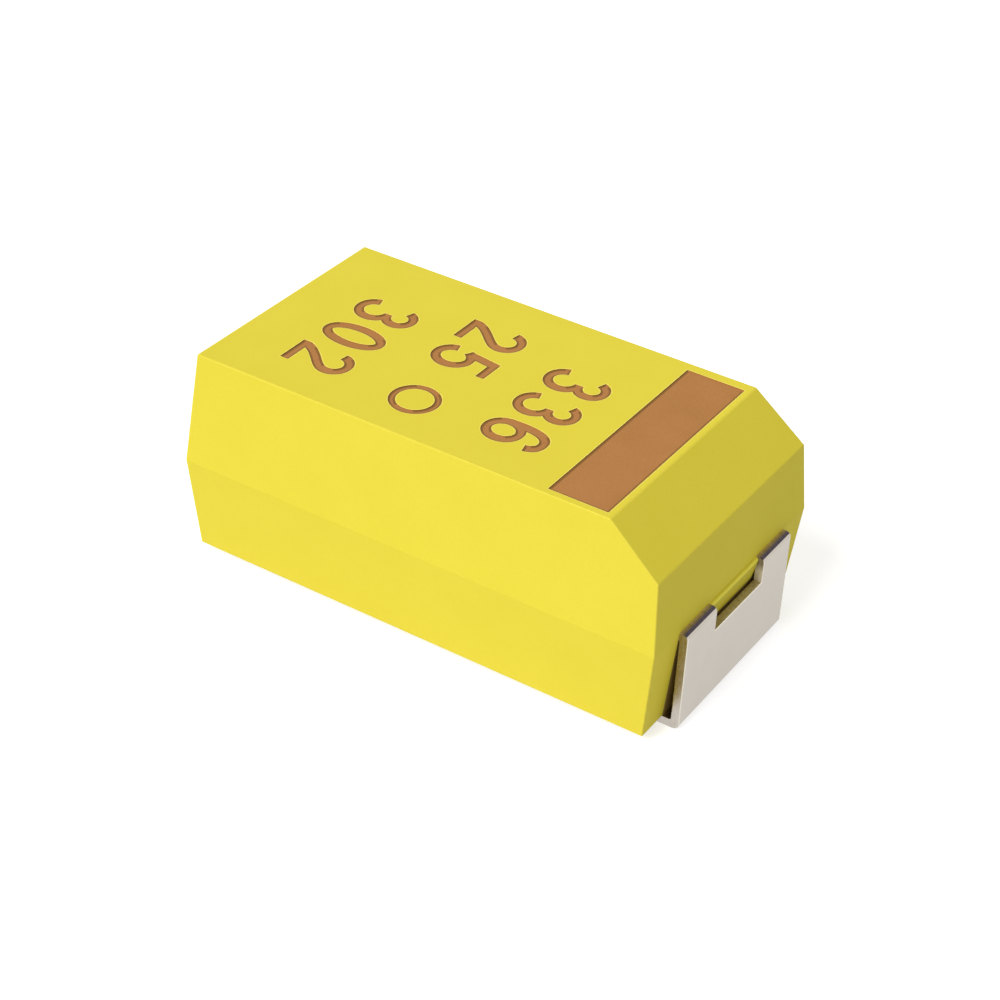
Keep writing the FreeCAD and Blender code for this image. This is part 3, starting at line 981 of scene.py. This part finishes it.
def dress_inner_pieces():
    """The sealed pieces keep their solids and get materials of their own.

    Each look is a dark and a light tone, the grain's scale, the roughness and the metal.
    """
    looks = {
        "tantalum_pellet": ((0.10, 0.10, 0.11), (0.20, 0.20, 0.21), 30.0, 0.6, 0.8),
        "tantalum_wire": ((0.33, 0.34, 0.37), (0.42, 0.43, 0.46), 12.0, 0.3, 1.0),
        "insulating_washer": ((0.80, 0.80, 0.78), (0.88, 0.88, 0.86), 8.0, 0.45, 0.0),
        "manganese_dioxide_coat": ((0.03, 0.028, 0.025), (0.07, 0.065, 0.06), 25.0, 0.85, 0.0),
        "graphite_coat": ((0.07, 0.07, 0.075), (0.12, 0.12, 0.125), 30.0, 0.55, 0.0),
        "silver_coat": ((0.52, 0.52, 0.50), (0.66, 0.66, 0.64), 35.0, 0.5, 0.8),
        "silver_adhesive": ((0.46, 0.46, 0.44), (0.58, 0.58, 0.56), 35.0, 0.55, 0.7),
    }
    for node, (dark, light, scale, rough, metal) in looks.items():
        wear(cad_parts[node], plain_grain(node, dark, light, scale, rough, metal))


# Light, as radiance that a white surface would show, and the floor's size in metres
SKY = 0.39
KEY = Vector((-0.199, -0.49, 0.558))
KEY_SOFTNESS = radians(35)
FLOOR_TONE = 0.8
FLOOR_SIZE = 2.0
FLOOR_GLOW = {"Is Camera Ray": 0.62, "Is Transmission Ray": 0.62, "Is Glossy Ray": 0.25}
FLOOR_WHITENESS = {"Is Glossy Ray": 0.7}
WORLD_GLOW = {"Is Camera Ray": 1 - SKY, "Is Transmission Ray": 1 - SKY, "Is Glossy Ray": 1 - SKY}


def brightness(tree, base, glows):
    """A strength of base, with more for the rays that show the white background directly."""
    path = tree.nodes.new("ShaderNodeLightPath")
    total = None
    for ray, glow in glows.items():
        step = tree.nodes.new("ShaderNodeMath")
        step.operation = "MULTIPLY_ADD"
        tree.links.new(path.outputs[ray], step.inputs[0])
        step.inputs[1].default_value = glow
        step.inputs[2].default_value = base
        if total:
            tree.links.new(total, step.inputs[2])
        total = step.outputs["Value"]
    return total


def build_world():
    world = bpy.data.worlds.new("studio")
    bpy.context.scene.world = world
    world.use_nodes = True
    tree = world.node_tree
    background = tree.nodes["Background"]
    background.inputs["Color"].default_value = (1, 1, 1, 1)
    tree.links.new(brightness(tree, SKY, WORLD_GLOW), background.inputs["Strength"])


def build_key_light():
    lamp = bpy.data.lights.new("key", "SUN")
    lamp.energy = KEY.length * pi
    lamp.angle = KEY_SOFTNESS
    key = bpy.data.objects.new("key", lamp)
    key.rotation_euler = KEY.to_track_quat("Z", "Y").to_euler()
    bpy.context.scene.collection.objects.link(key)


def build_floor():
    bm = bmesh.new()
    bmesh.ops.create_grid(bm, x_segments=1, y_segments=1, size=FLOOR_SIZE / 2)
    floor = new_object("floor", bm)
    material = bpy.data.materials.new("pale_floor")
    material.use_nodes = True
    tree = material.node_tree
    tree.nodes.remove(tree.nodes["Principled BSDF"])
    paper = tree.nodes.new("ShaderNodeBsdfDiffuse")
    paper.inputs["Color"].default_value = (FLOOR_TONE, FLOOR_TONE, FLOOR_TONE, 1)
    glow = tree.nodes.new("ShaderNodeEmission")
    tree.links.new(brightness(tree, 0, FLOOR_GLOW), glow.inputs["Strength"])
    both = tree.nodes.new("ShaderNodeAddShader")
    tree.links.new(paper.outputs["BSDF"], both.inputs[0])
    tree.links.new(glow.outputs["Emission"], both.inputs[1])
    white = tree.nodes.new("ShaderNodeEmission")
    surface = tree.nodes.new("ShaderNodeMixShader")
    tree.links.new(brightness(tree, 0, FLOOR_WHITENESS), surface.inputs["Fac"])
    tree.links.new(both.outputs["Shader"], surface.inputs[1])
    tree.links.new(white.outputs["Emission"], surface.inputs[2])
    tree.links.new(surface.outputs["Shader"], tree.nodes["Material Output"].inputs["Surface"])
    floor.data.materials.append(material)


# Camera, fitted to the photograph
CAMERA_PLACE = (0.010740, -0.017444, 0.015037)
CAMERA_TURN = (55.5175, -2.4530, 33.0911)
CAMERA_LENS = 83.473
SENSOR = 36.0


def build_camera():
    data = bpy.data.cameras.new("camera")
    data.sensor_width = SENSOR
    data.lens = CAMERA_LENS
    data.clip_start = 0.001
    data.clip_end = 10.0
    camera = bpy.data.objects.new("camera", data)
    camera.location = CAMERA_PLACE
    camera.rotation_euler = [radians(angle) for angle in CAMERA_TURN]
    bpy.context.scene.collection.objects.link(camera)
    bpy.context.scene.camera = camera


build_case()
build_terminals()
dress_inner_pieces()
build_world()
build_key_light()
build_floor()
build_camera()
bpy.context.scene.view_settings.view_transform = "Standard"

bpy.context.view_layer.update()
